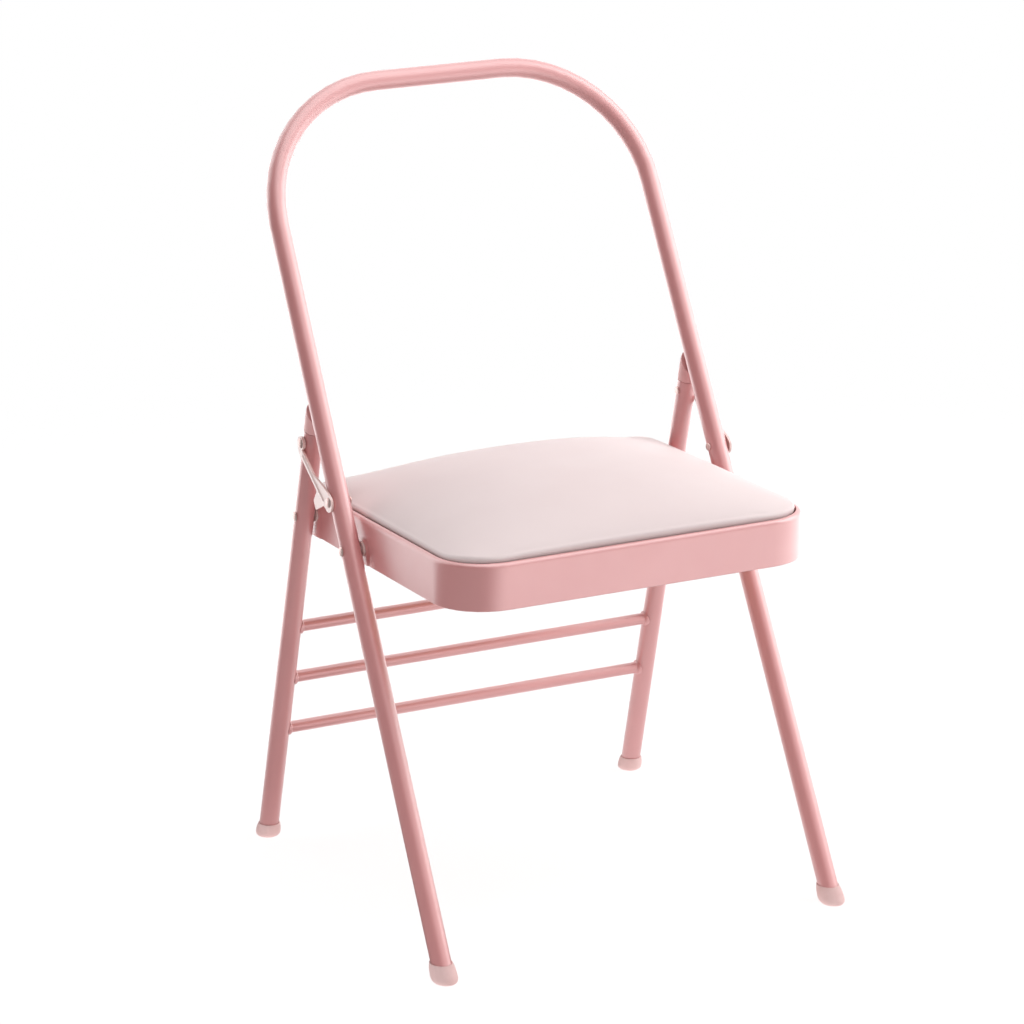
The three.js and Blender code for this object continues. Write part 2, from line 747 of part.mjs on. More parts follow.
// ---- Links ----
// Outline in the link's own plane: first number towards the eye, second to the front.
function linkOutline(length) {
  const shape = new THREE.Shape();
  const barFront = LINK_BAR_HALF - LINK_BAR_DROP;
  const barBack = -LINK_BAR_HALF - LINK_BAR_DROP;
  const rootFront = LINK_ROOT_RADIUS - LINK_ROOT_DROP;
  shape.moveTo(LINK_NECK, barFront);
  traceEye(shape, length, barFront, barBack);
  traceLobe(shape, barBack, -LINK_ROOT_RADIUS - LINK_ROOT_DROP);
  shape.absarc(0, -LINK_ROOT_DROP, LINK_ROOT_RADIUS, -Math.PI / 2, Math.PI / 2, true);
  shape.quadraticCurveTo(LINK_NECK / 3, rootFront, LINK_NECK, barFront);
  return shape;
}

function traceEye(shape, length, barFront, barBack) {
  const tuck = Math.asin(-barFront / LINK_EYE_RADIUS);
  const wrap = radians(LINK_EYE_WRAP);
  const drop = LINK_EYE_RADIUS * Math.sin(wrap);
  const corner = length + LINK_EYE_RADIUS * Math.cos(wrap) + (barBack + drop) * Math.tan(wrap);
  shape.lineTo(length - LINK_EYE_RADIUS * Math.cos(tuck), barFront);
  shape.absarc(length, 0, LINK_EYE_RADIUS, Math.PI + tuck, -wrap, true);
  shape.quadraticCurveTo(corner, barBack, length - LINK_EYE_RADIUS, barBack);
}

// The stop lobe, from the back of the bar round to the back of the root.
function traceLobe(shape, barBack, rootBack) {
  const tip = -LOBE_REACH;
  const shoulder = tip + LOBE_SLANT;
  const slant = LOBE_SLANT / LOBE_TIP;
  shape.lineTo(LOBE_END + LOBE_ROUND, barBack);
  shape.quadraticCurveTo(LOBE_END, barBack, LOBE_END, barBack - LOBE_ROUND);
  shape.lineTo(LOBE_END, shoulder + LOBE_ROUND);
  shape.quadraticCurveTo(LOBE_END, shoulder, LOBE_END - LOBE_ROUND, shoulder - slant * LOBE_ROUND);
  shape.lineTo(LOBE_END - LOBE_TIP, tip);
  shape.lineTo(LOBE_START, rootBack - LOBE_ROUND / 2);
  shape.quadraticCurveTo(LOBE_START - LOBE_ROUND, rootBack, 0, rootBack);
}

function linkFrame(side) {
  const root = onFront(side, linkFrontPivot);
  const eye = onRear(side, linkRearPivot);
  const along = new THREE.Vector3(0, eye.y - root.y, eye.z - root.z);
  const length = along.length();
  along.normalize();
  const across = new THREE.Vector3(0, -along.z, along.y);
  return { root, eye, along, across, length };
}

// Puts a plate drawn in the link's plane on its side of the chair.
function placeOnLink(geometry, side, from, to) {
  const { root, along, across } = linkFrame(side);
  const position = geometry.attributes.position;
  for (let i = 0; i < position.count; i += 1) {
    const a = position.getX(i);
    const c = position.getY(i);
    const x = side * (from + (to - from) * position.getZ(i));
    position.setXYZ(
      i,
      x,
      root.y + along.y * a + across.y * c,
      root.z + along.z * a + across.z * c,
    );
  }
  return solid(geometry);
}

// One level of the pressed bead, a slot shape on the centre line of the bar.
function beadRing(start, end, half, level) {
  const ring = [];
  for (const [centre, turn] of [[end, -Math.PI / 2], [start, Math.PI / 2]]) {
    for (let i = 0; i <= CORNER_STEPS; i += 1) {
      const angle = turn + Math.PI * i / CORNER_STEPS;
      const across = half * Math.sin(angle) - LINK_BAR_DROP;
      ring.push(new THREE.Vector3(centre + half * Math.cos(angle), across, level));
    }
  }
  return ring;
}

function link(side) {
  const { root, eye, length } = linkFrame(side);
  const flat = new THREE.ExtrudeGeometry(linkOutline(length), {
    depth: 1,
    bevelEnabled: false,
    curveSegments: CORNER_STEPS,
  });
  const plate = placeOnLink(flat, side, linkInner, linkOuter);
  const start = LINK_ROOT_RADIUS + BEAD_HALF;
  const end = length - BEAD_END;
  const rings = [
    beadRing(start, end, BEAD_HALF, 0),
    beadRing(start, end, BEAD_HALF, 1 / 2),
    beadRing(start, end, BEAD_HALF / 2, 1),
  ];
  const bead = placeOnLink(loft(rings), side, linkOuter - BEAD_HEIGHT, linkOuter + BEAD_HEIGHT);
  const rootBore = new THREE.Vector3(side * linkInner, root.y, root.z);
  const eyeBore = new THREE.Vector3(side * linkInner, eye.y, eye.z);
  const reach = LINK_THICKNESS + OVERRUN;
  return plate.add(bead)
    .subtract(crossBore(rootBore, holeRadius, reach))
    .subtract(crossBore(eyeBore, holeRadius, reach));
}

// ---- Boots and end caps ----
function bootRing(line, side, height, radius, stretch) {
  const centre = line(side, height);
  const ring = [];
  for (let i = 0; i < TUBE_SIDES; i += 1) {
    const angle = 2 * Math.PI * i / TUBE_SIDES;
    ring.push(new THREE.Vector3(
      centre.x + radius * Math.cos(angle),
      centre.y + radius * stretch * Math.sin(angle),
      height,
    ));
  }
  return ring;
}

// A boot's outside as [radius, height], from its flat sole to its lip.
function bootProfile(flare, height) {
  const lip = TUBE_RADIUS + BOOT_LIP_WALL;
  const belly = TUBE_RADIUS + flare;
  const points = [];
  for (let i = 0; i <= SOLE_STEPS; i += 1) {
    const angle = Math.PI / 2 * i / SOLE_STEPS;
    const drawn = BOOT_SOLE_ROUND * (1 - Math.sin(angle));
    points.push([belly - drawn, BOOT_SOLE_ROUND * (1 - Math.cos(angle))]);
  }
  points.push([belly, BOOT_BELLY_HEIGHT]);
  points.push([lip + (belly - lip) * BOOT_SHOULDER_SHARE, (BOOT_BELLY_HEIGHT + height) / 2]);
  points.push([lip, height - BOOT_LIP_WALL / 2]);
  points.push([lip - BOOT_LIP_WALL / 3, height]);
  return points;
}

// Flared rubber foot: flat sole on the floor, level lip round the leaning tube.
function boot(line, axis, side, lean, flare, height) {
  const stretch = 1 / Math.cos(radians(lean));
  const profile = bootProfile(flare, height);
  const rings = profile.map(([radius, level]) => bootRing(line, side, level, radius, stretch));
  const lip = TUBE_RADIUS + BOOT_LIP_WALL;
  const seat = line(side, tubeEndHeight(lean)).addScaledVector(axis, -GAP);
  const above = seat.clone().addScaledVector(axis, height + lip);
  return solid(loft(rings)).subtract(rod(seat, above, TUBE_RADIUS + BORE_CLEARANCE, TUBE_SIDES));
}

// Bullet-shaped cap whose front is cut flat along the front tube that it rests on.
function endCap(side) {
  const axis = rearAxis(side);
  const plug = TUBE_RADIUS - TUBE_WALL - BORE_CLEARANCE;
  const shell = TUBE_RADIUS + CAP_LIP;
  const profile = [
    [0, -CAP_PLUG],
    [plug - CAP_SEAM, -CAP_PLUG],
    [plug, -CAP_PLUG + CAP_SEAM],
    [plug, GAP],
    [shell - CAP_SEAM, GAP],
    [shell, GAP + CAP_SEAM],
  ];
  for (let i = 0; i <= CAP_STEPS; i += 1) {
    const angle = Math.PI / 2 * i / CAP_STEPS;
    const radius = i === CAP_STEPS ? 0 : shell * Math.cos(angle);
    profile.push([radius, CAP_SHOULDER + (CAP_LENGTH - CAP_SHOULDER) * Math.sin(angle)]);
  }
  const body = turned(profile, onRear(side, rearHeight), axis, TUBE_SIDES);
  return body.subtract(frontTubeZone(side));
}

// A block that fills the space in front of the plane behind the front tube.
function frontTubeZone(side) {
  const size = 2 * CAP_LENGTH + TUBE_RADIUS;
  const box = new THREE.BoxGeometry(size, size, 2 * size);
  box.translate(0, TUBE_RADIUS + CAP_REST_GAP - size / 2, 0);
  box.rotateX(-radians(FRONT_LEAN));
  const centre = onFront(side, rearHeight);
  box.translate(centre.x, centre.y, centre.z);
  return solid(box);
}

// ---- Finishes ----
const finishes = {
  paint: { color: 0xdb9f9b, roughness: 0.3, metalness: 0.1 },
  link: { color: 0xe6c3bb, roughness: 0.4, metalness: 0.2 },
  vinyl: { color: 0xf0dfdd, roughness: 0.55, metalness: 0 },
  rubber: { color: 0xdcb4b0, roughness: 0.7, metalness: 0 },
  cap: { color: 0xd39b97, roughness: 0.5, metalness: 0 },
  steel: { color: 0xb98f8b, roughness: 0.35, metalness: 0.6 },
  nylon: { color: 0xe2c9c4, roughness: 0.6, metalness: 0 },
  wood: { color: 0xc9a779, roughness: 0.8, metalness: 0 },
};

const chair = new THREE.Group();
chair.name = 'backless_yoga_chair';

function place(name, body, finish) {
  const mesh = new THREE.Mesh(toGeometry(body), new THREE.MeshStandardMaterial(finishes[finish]));
  mesh.name = name;
  chair.add(mesh);
}

place('front_tube', frontTube(), 'paint');
place('seat_pan', seatPan(), 'paint');
place('cushion_board', cushionBoard(), 'wood');
place('seat_cushion', cushion(), 'vinyl');
['upper', 'middle', 'lower'].forEach((level, i) => place(`rung_${level}`, rung(RUNG_HEIGHTS[i]), 'paint'));
for (const [corner, spot] of Object.entries(screwPlaces())) {
  place(`board_screw_${corner}`, boardScrew(spot), 'steel');
}
for (const [name, side] of Object.entries(SIDES)) {
  place(`front_boot_${name}`, boot(
    onFront, frontAxis(side), side, FRONT_LEAN, FRONT_BOOT_FLARE, FRONT_BOOT_HEIGHT,
  ), 'rubber');
  place(`rear_boot_${name}`, boot(
    onRear, rearAxis(side), side, REAR_LEAN, REAR_BOOT_FLARE, REAR_BOOT_HEIGHT,
  ), 'rubber');
  place(`rear_leg_${name}`, rearTube(side), 'paint');
  place(`rear_cap_${name}`, endCap(side), 'cap');
  place(`link_${name}`, link(side), 'link');
  place(`link_rivet_head_${name}`, linkRivetHead(side), 'steel');
  place(`link_rear_rivet_${name}`, linkRearRivet(side), 'steel');
  place(`link_front_rivet_${name}`, linkFrontRivet(side), 'steel');
  place(`seat_front_rivet_${name}`, seatFrontRivet(side), 'steel');
  place(`seat_rear_rivet_${name}`, seatRearRivet(side), 'steel');
  place(`seat_front_washer_${name}`, seatFrontWasher(side), 'nylon');
  place(`seat_rear_washer_${name}`, seatRearWasher(side), 'nylon');
  place(`link_washer_${name}`, linkWasher(side), 'nylon');
}

export default chair;
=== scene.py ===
"""Looks of a folding yoga chair without a backrest. Metres, +Z up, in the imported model's frame."""
import json
import math

import bmesh
import bpy
from mathutils import Matrix, Vector


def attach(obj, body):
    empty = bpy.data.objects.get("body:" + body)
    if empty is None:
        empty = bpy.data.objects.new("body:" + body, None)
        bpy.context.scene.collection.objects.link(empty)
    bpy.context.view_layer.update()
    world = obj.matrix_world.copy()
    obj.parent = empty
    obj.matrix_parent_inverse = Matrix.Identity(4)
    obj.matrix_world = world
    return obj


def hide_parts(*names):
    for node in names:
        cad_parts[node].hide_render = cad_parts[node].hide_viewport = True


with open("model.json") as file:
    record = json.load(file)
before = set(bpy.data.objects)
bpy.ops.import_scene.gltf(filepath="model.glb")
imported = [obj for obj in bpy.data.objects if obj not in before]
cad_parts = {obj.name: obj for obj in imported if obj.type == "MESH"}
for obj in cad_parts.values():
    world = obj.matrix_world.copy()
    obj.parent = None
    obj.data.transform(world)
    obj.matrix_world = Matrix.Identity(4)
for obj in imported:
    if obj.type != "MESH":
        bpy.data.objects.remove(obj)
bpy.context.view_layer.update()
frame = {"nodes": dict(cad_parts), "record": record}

# Camera, from the photograph's perspective. Azimuth 0 looks along +Y; angles in degrees
AZIMUTH = -26.944
ELEVATION = 17.401
DISTANCE = 4.0596
AIM = Vector((-0.0573, -0.05185, 0.3988))
LENS = 146.55                       # millimetres, as the sensor
SENSOR = 36.0
CLIP_END = 100

# Floor
FLOOR_HALF = 30.0
FLOOR_FADE = (0.75, 1.9)            # radii between which it turns into the white background
FLOOR_CLEAR = 0.88                  # share of its white that no shadow takes
FLOOR_MATTE = 0.22                  # share that the lamps light
FLOOR_BOUNCE = 0.55                 # its grey where it lights the object
FLOOR_LIFT = 0.85                   # light that it adds from below, near the chair
FLOOR_SHINE = (1.0, 2.7)            # brightness that shiny pieces mirror, near the chair and far
FLOOR_SHINE_FADE = (0.5, 1.2)       # radii of near and far

# Room
ROOM_LEVEL = 0.11                   # brightness that lights the object
ROOM_SHINE = 1.5                    # brightness that shiny pieces mirror
DARK_AZIMUTH = math.radians(-72)    # side of the room that is left dark
DARK_SIDE = (math.sin(DARK_AZIMUTH), -math.cos(DARK_AZIMUTH), 0)
DARK_FALL = (0.2, 0.7)              # cosines from that side where the dark starts and is full
DARK_SHARE = 0.04                   # brightness left there

# Lamps: name, azimuth, elevation, brightness on a white card, width, height, shows in mirrors
SOFTBOX_DISTANCE = 2.6
SOFTBOX_AIM = Vector((0, 0, 0.42))
SOFTBOXES = [
    ("key_softbox", 76, 28, 0.68, 2.1, 2.1, True),
    ("left_softbox", -140, 22, 0.20, 2.0, 2.0, True),
    ("top_softbox", 40, 80, 0.72, 3.0, 3.0, True),
    ("fill_softbox", -50, 8, 0.24, 3.0, 1.6, False),
]

# Cushion, in the level frame of the seat
SEAT_PITCH = math.radians(2)        # front edge up, about the middle of the seat's rim
SEAT_MIDDLE = Vector((0, -0.03861, 0.4002))
PAD_HALF_WIDTH = 0.18989
PAD_HALF_LENGTH = 0.1693
PAD_FRONT_CORNER = 0.0473
PAD_BACK_CORNER = 0.0233
PAD_LOW = -0.0044                   # underside, from the rim
PAD_UNDERCUT = 0.003
PAD_EDGE = 0.003                    # where the crown starts, above the rim
PAD_ROUND = 0.0032
PAD_CROWN = 0.036
PAD_GRID = 60                       # faces along each side of the cover
PAD_CROWDING = 1.35                 # how much closer together they are near the edge
PAD_ARC = 4                         # faces round its edge
ACROSS_FALL = (2.45, 0.87)          # power and root of the crown's fall towards the sides
FRONT_FALL = (2.45, 0.65)
BACK_FALL = (3.17, 1.0)

# Filling: cloth pressed outwards for some frames, as far as its reach
FILL_FRAMES = 20
FILL_REACH = 0.0025
FILL = {
    "quality": 6,
    "mass": 0.4,
    "tension_stiffness": 40,
    "compression_stiffness": 40,
    "shear_stiffness": 20,
    "bending_stiffness": 4,
    "use_pressure": True,
    "uniform_pressure_force": 4.0,
}

# Smoothing of the machine-made pieces
MERGE = 0.00001
SHADE_ANGLE = math.radians(46)

# Noise values over which a colour, and a roughness, goes from one end to the other
COLOUR_BAND = (0.35, 0.65)
ROUGHNESS_BAND = (0.3, 0.7)
ROUGHNESS_FINER = 7                 # how much finer the roughness drifts than the colour


def srgb(red, green, blue, alpha=1.0):
    """A colour written as it shows, as the linear values that shaders take."""
    def linear(c):
        return c / 12.92 if c <= 0.04045 else ((c + 0.055) / 1.055) ** 2.4
    return (linear(red), linear(green), linear(blue), alpha)


PAINT = srgb(0.838, 0.558, 0.555)
PAINT_DEEP = srgb(0.816, 0.532, 0.530)
LINK_PALE = srgb(0.870, 0.730, 0.705)
LINK_DEEP = srgb(0.840, 0.685, 0.660)
VINYL = srgb(0.966, 0.903, 0.900)
VINYL_DEEP = srgb(0.951, 0.884, 0.881)
RUBBER = srgb(0.915, 0.780, 0.770)
RUBBER_DEEP = srgb(0.880, 0.730, 0.720)
CAP = srgb(0.895, 0.680, 0.675)
CAP_DEEP = srgb(0.870, 0.640, 0.635)
STEEL = srgb(0.900, 0.790, 0.770)
STEEL_DEEP = srgb(0.820, 0.690, 0.670)
NYLON = srgb(0.880, 0.790, 0.770)
NYLON_DEEP = srgb(0.840, 0.740, 0.720)
PLYWOOD = srgb(0.780, 0.650, 0.470)
PLYWOOD_DEEP = srgb(0.640, 0.490, 0.320)
WHITE = (1, 1, 1, 1)


def feed(tree, sockets, values):
    """Sets each input to its value, or links it where that is another node's output."""
    for socket, value in zip(sockets, values):
        if isinstance(value, bpy.types.NodeSocket):
            tree.links.new(value, socket)
        else:
            socket.default_value = value


def feed_named(tree, node, **values):
    """The same by the inputs' names, with _ for a space."""
    feed(tree, [node.inputs[name.replace("_", " ")] for name in values], values.values())


def add(tree, kind, *values, operation=None, **named_values):
    """A new node, whose inputs are given in their order or by name."""
    node = tree.nodes.new(kind)
    if operation:
        node.operation = operation
    feed(tree, node.inputs, values)
    feed_named(tree, node, **named_values)
    return node


def ranged(tree, value, before, after, smooth=False):
    """Maps a value from one range to another."""
    node = add(tree, "ShaderNodeMapRange", value, *before, *after)
    node.interpolation_type = "SMOOTHSTEP" if smooth else "LINEAR"
    return node.outputs["Result"]


def noise(tree, scale, detail=3.0, stretch=None):
    """Noise in the piece's own coordinates, so that it stays put when the piece moves."""
    place = add(tree, "ShaderNodeTexCoord").outputs["Object"]
    if stretch:
        place = add(tree, "ShaderNodeMapping", Vector=place, Scale=stretch).outputs["Vector"]
    texture = add(tree, "ShaderNodeTexNoise", Vector=place, Scale=scale, Detail=detail)
    return texture.outputs["Fac"]


def mixed_colour(tree, factor, low, high):
    ramp = add(tree, "ShaderNodeValToRGB", Fac=factor)
    start, end = ramp.color_ramp.elements
    start.position, end.position = COLOUR_BAND
    start.color, end.color = low, high
    return ramp.outputs["Color"]


def bump(tree, height, strength, distance, under=None):
    node = add(tree, "ShaderNodeBump", Height=height, Strength=strength, Distance=distance)
    if under is not None:
        feed_named(tree, node, Normal=under)
    return node.outputs["Normal"]


def base_material(name, low, high, scale, roughness, stretch=None):
    """A shader whose colour and roughness drift slightly over the surface."""
    material = bpy.data.materials.new(name)
    material.use_nodes = True
    tree = material.node_tree
    shader = tree.nodes["Principled BSDF"]
    drift = noise(tree, scale, stretch=stretch)
    fine = noise(tree, scale * ROUGHNESS_FINER)
    feed_named(tree, shader, Base_Color=mixed_colour(tree, drift, low, high),
               Roughness=ranged(tree, fine, ROUGHNESS_BAND, roughness))
    return material, tree, shader


def powder_coat(name, low, high):
    material, tree, shader = base_material(name, low, high, scale=9, roughness=(0.46, 0.54))
    peel = bump(tree, noise(tree, scale=420, detail=2), strength=0.10, distance=0.0004)
    feed_named(tree, shader, Normal=peel, Specular_IOR_Level=0.8,
               Coat_Weight=1.0, Coat_Roughness=0.34, Coat_IOR=1.8)
    return material


def vinyl(name, low, high):
    material, tree, shader = base_material(name, low, high, scale=6, roughness=(0.50, 0.60))
    place = add(tree, "ShaderNodeTexCoord").outputs["Object"]
    grain = add(tree, "ShaderNodeTexVoronoi", Vector=place, Scale=620)
    grain.feature = "DISTANCE_TO_EDGE"
    pores = bump(tree, grain.outputs["Distance"], strength=0.16, distance=0.0005)
    folds = bump(tree, noise(tree, scale=95, detail=4), strength=0.06, distance=0.0010, under=pores)
    feed_named(tree, shader, Normal=folds, Specular_IOR_Level=0.10)
    return material


def rubber(name, low, high):
    material, tree, shader = base_material(name, low, high, scale=60, roughness=(0.58, 0.70))
    grain = bump(tree, noise(tree, scale=700), strength=0.18, distance=0.0004)
    feed_named(tree, shader, Normal=grain, Specular_IOR_Level=0.35)
    return material


def plastic(name, low, high):
    material, tree, shader = base_material(name, low, high, scale=40, roughness=(0.38, 0.48))
    grain = bump(tree, noise(tree, scale=520, detail=2), strength=0.08, distance=0.0003)
    feed_named(tree, shader, Normal=grain)
    return material


def plated_steel(name, low, high):
    material, tree, shader = base_material(name, low, high, scale=160, roughness=(0.32, 0.46))
    marks = bump(tree, noise(tree, scale=900, detail=4), strength=0.15, distance=0.0003)
    feed_named(tree, shader, Normal=marks, Metallic=0.55)
    return material


def plywood(name, low, high):
    material, tree, shader = base_material(
        name, low, high, scale=9, roughness=(0.65, 0.80), stretch=(0.6, 16.0, 16.0))
    grain = noise(tree, scale=24, detail=6, stretch=(1.0, 16.0, 16.0))
    feed_named(tree, shader, Normal=bump(tree, grain, strength=0.35, distance=0.0008))
    return material


finishes = {
    "frame_paint": powder_coat("rose_powder_coat", PAINT_DEEP, PAINT),
    "link_steel": powder_coat("pale_coated_steel", LINK_DEEP, LINK_PALE),
    "cushion_vinyl": vinyl("pale_pink_vinyl", VINYL_DEEP, VINYL),
    "board_wood": plywood("raw_plywood", PLYWOOD_DEEP, PLYWOOD),
    "boot_rubber": rubber("pale_pink_rubber", RUBBER_DEEP, RUBBER),
    "cap_plastic": plastic("rose_plastic", CAP_DEEP, CAP),
    "rivet_steel": plated_steel("plated_steel", STEEL_DEEP, STEEL),
    "washer_nylon": plastic("natural_nylon", NYLON_DEEP, NYLON),
}


def smooth_group():
    """Nodes that shade smooth but for edges sharper than SHADE_ANGLE, without imported normals."""
    group = bpy.data.node_groups.new("smooth_by_angle", "GeometryNodeTree")
    for direction in ("INPUT", "OUTPUT"):
        group.interface.new_socket(
            "Geometry", in_out=direction, socket_type="NodeSocketGeometry")
    start = group.nodes.new("NodeGroupInput")
    end = group.nodes.new("NodeGroupOutput")
    plain = group.nodes.new("GeometryNodeRemoveAttribute")
    plain.inputs["Name"].default_value = "custom_normal"
    faces = group.nodes.new("GeometryNodeSetShadeSmooth")
    faces.domain = "FACE"
    edges = group.nodes.new("GeometryNodeSetShadeSmooth")
    edges.domain = "EDGE"
    angle = group.nodes.new("GeometryNodeInputMeshEdgeAngle")
    test = group.nodes.new("FunctionNodeCompare")
    test.data_type = "FLOAT"
    test.operation = "LESS_THAN"
    test.inputs[1].default_value = SHADE_ANGLE
    group.links.new(start.outputs[0], plain.inputs["Geometry"])
    group.links.new(plain.outputs["Geometry"], faces.inputs["Geometry"])
    group.links.new(faces.outputs["Geometry"], edges.inputs["Geometry"])
    group.links.new(angle.outputs["Unsigned Angle"], test.inputs[0])
    group.links.new(test.outputs["Result"], edges.inputs["Shade Smooth"])
    group.links.new(edges.outputs["Geometry"], end.inputs[0])
    return group


def clean_shading(node, group):
    """Merges the split corners of a machine-made piece and shades it smooth."""
    node.modifiers.new("merge", "WELD").merge_threshold = MERGE
    node.modifiers.new("smooth", "NODES").node_group = group
    node.modifiers.new("normals", "WEIGHTED_NORMAL").keep_sharp = True


def dress_nodes():
    """Gives each machine-made piece the finish of its slot in the record."""
    slots = {row["node"]: row["material_slot"] for row in frame["record"]["subparts"]}
    group = smooth_group()
    for name, node in frame["nodes"].items():
        node.data.materials.clear()
        node.data.materials.append(finishes[slots[name]])
        clean_shading(node, group)


def matte(tree, grey):
    return add(tree, "ShaderNodeBsdfDiffuse", Color=(grey, grey, grey, 1)).outputs["BSDF"]


def glow(tree, strength):
    node = add(tree, "ShaderNodeEmission", Color=WHITE, Strength=strength)
    return node.outputs["Emission"]


def background(tree, strength):
    node = add(tree, "ShaderNodeBackground", Color=WHITE, Strength=strength)
    return node.outputs["Background"]


def clear(tree, share):
    """Lets a share of the white background through, and what a pose puts below the floor."""
    node = add(tree, "ShaderNodeBsdfTransparent", Color=(share, share, share, 1))
    return node.outputs["BSDF"]


def summed(tree, first, second):
    return add(tree, "ShaderNodeAddShader", first, second).outputs["Shader"]


def mixed(tree, factor, first, second):
    return add(tree, "ShaderNodeMixShader", factor, first, second).outputs["Shader"]


def product(tree, first, second):
    return add(tree, "ShaderNodeMath", first, second, operation="MULTIPLY").outputs["Value"]


def dark_side(tree, direction):
    """1 all round, but for a soft fall to DARK_SHARE on the dark side of the room."""
    unit = add(tree, "ShaderNodeVectorMath", direction, operation="NORMALIZE").outputs["Vector"]
    toward = add(tree, "ShaderNodeVectorMath", unit, DARK_SIDE, operation="DOT_PRODUCT")
    return ranged(tree, toward.outputs["Value"], DARK_FALL, (1.0, DARK_SHARE), smooth=True)


def white_room():
    """White behind the object, with a level of its own for what lights or mirrors in it."""
    world = bpy.data.worlds.new("white_room")
    bpy.context.scene.world = world
    world.use_nodes = True
    tree = world.node_tree
    tree.nodes.clear()
    path = add(tree, "ShaderNodeLightPath")
    level = ranged(tree, path.outputs["Is Glossy Ray"], (0, 1), (ROOM_LEVEL, ROOM_SHINE))
    direction = add(tree, "ShaderNodeTexCoord").outputs["Generated"]
    unseen = background(tree, product(tree, level, dark_side(tree, direction)))
    shown = mixed(tree, path.outputs["Is Camera Ray"], unseen, background(tree, 1.0))
    add(tree, "ShaderNodeOutputWorld", Surface=shown)


def floor_material():
    """To the camera white, with a faint shadow near the chair; to all else a floor that also glows,
    lighting the object from below, and mirrors brighter than white far off.
    """
    material = bpy.data.materials.new("pale_floor")
    material.use_nodes = True
    material.cycles.emission_sampling = "NONE"
    tree = material.node_tree
    tree.nodes.clear()
    place = add(tree, "ShaderNodeTexCoord").outputs["Object"]
    radius = add(tree, "ShaderNodeVectorMath", place, operation="LENGTH").outputs["Value"]
    fade = ranged(tree, radius, FLOOR_FADE, (0, 1), smooth=True)
    near = summed(tree, matte(tree, FLOOR_MATTE), clear(tree, FLOOR_CLEAR))
    seen = mixed(tree, fade, near, clear(tree, 1.0))
    lift = mixed(tree, fade, glow(tree, FLOOR_LIFT), glow(tree, 0.0))
    dull = summed(tree, matte(tree, FLOOR_BOUNCE), lift)
    shine = ranged(tree, radius, FLOOR_SHINE_FADE, FLOOR_SHINE, smooth=True)
    mirrored = glow(tree, product(tree, dark_side(tree, place), shine))
    path = add(tree, "ShaderNodeLightPath")
    unseen = mixed(tree, path.outputs["Is Glossy Ray"], dull, mirrored)
    unseen = mixed(tree, path.outputs["Is Shadow Ray"], unseen, clear(tree, 1.0))
    shown = mixed(tree, path.outputs["Is Camera Ray"], unseen, seen)
    add(tree, "ShaderNodeOutputMaterial", Surface=shown)
    return material


def floor():
    half = FLOOR_HALF
    corners = [(-half, -half, 0), (half, -half, 0), (half, half, 0), (-half, half, 0)]
    mesh = bpy.data.meshes.new("floor")
    mesh.from_pydata(corners, [], [(0, 1, 2, 3)])
    mesh.materials.append(floor_material())
    ground = bpy.data.objects.new("floor", mesh)
    bpy.context.scene.collection.objects.link(ground)


def outward(azimuth, elevation):
    """Unit vector out from the object, by the angles of a camera that stands there."""
    azimuth, elevation = math.radians(azimuth), math.radians(elevation)
    return Vector((
        math.sin(azimuth) * math.cos(elevation),
        -math.cos(azimuth) * math.cos(elevation),
        math.sin(elevation),
    ))


def placed(data, place, facing):
    """A lamp or camera at a place, turned to look along a direction."""
    holder = bpy.data.objects.new(data.name, data)
    bpy.context.scene.collection.objects.link(holder)
    holder.location = place
    holder.rotation_euler = facing.to_track_quat("-Z", "Y").to_euler()
    return holder


def lights():
    """Softboxes by the brightness that each one gives a white card facing it."""
    for name, azimuth, elevation, level, width, height, mirrors in SOFTBOXES:
        lamp = bpy.data.lights.new(name, "AREA")
        lamp.shape = "RECTANGLE"
        lamp.size = width
        lamp.size_y = height
        lamp.energy = level * (math.pi * SOFTBOX_DISTANCE) ** 2
        place = SOFTBOX_AIM + outward(azimuth, elevation) * SOFTBOX_DISTANCE
        placed(lamp, place, SOFTBOX_AIM - place).visible_glossy = mirrors


def camera():
    data = bpy.data.cameras.new("camera")
    data.sensor_width = SENSOR
    data.lens = LENS
    data.clip_end = CLIP_END
    back = outward(AZIMUTH, ELEVATION)
    bpy.context.scene.camera = placed(data, AIM + back * DISTANCE, -back)


def pad_outline(steps, inset):
    """Rounded rectangle, from the middle of one corner to the next, as many steps on each side."""
    wide = PAD_HALF_WIDTH - inset
    far = PAD_HALF_LENGTH - inset
    front = PAD_FRONT_CORNER - inset
    back = PAD_BACK_CORNER - inset
    corners = [
        (-wide + front, -far + front, front), (wide - front, -far + front, front),
        (wide - back, far - back, back), (-wide + back, far - back, back),
    ]
    ring = []
    for i, (x0, y0, r0) in enumerate(corners):
        x1, y1, r1 = corners[(i + 1) % 4]
        facing = math.pi / 2 * (i - 1)
        start = Vector((x0 + r0 * math.cos(facing), y0 + r0 * math.sin(facing)))
        stop = Vector((x1 + r1 * math.cos(facing), y1 + r1 * math.sin(facing)))
        before, along, after = r0 * math.pi / 4, (stop - start).length, r1 * math.pi / 4
        for k in range(steps):
            run = (before + along + after) * k / steps
            if run < before:
                angle = facing - (before - run) / r0
                ring.append(Vector((x0 + r0 * math.cos(angle), y0 + r0 * math.sin(angle))))
            elif run < before + along:
                ring.append(start.lerp(stop, (run - before) / along))
            else:
                angle = facing + (run - before - along) / r1
                ring.append(Vector((x1 + r1 * math.cos(angle), y1 + r1 * math.sin(angle))))
    return ring


def square_border(steps):
    """Places round the edge of a square grid, in the order of pad_outline."""
    run = range(steps)
    return ([(i, 0) for i in run] + [(steps, i) for i in run]
            + [(steps - i, steps) for i in run] + [(0, steps - i) for i in run])


def fall(share, power, root):
    """From 1 in the middle to 0 at the edge."""
    return max(1 - abs(share) ** power, 0) ** root


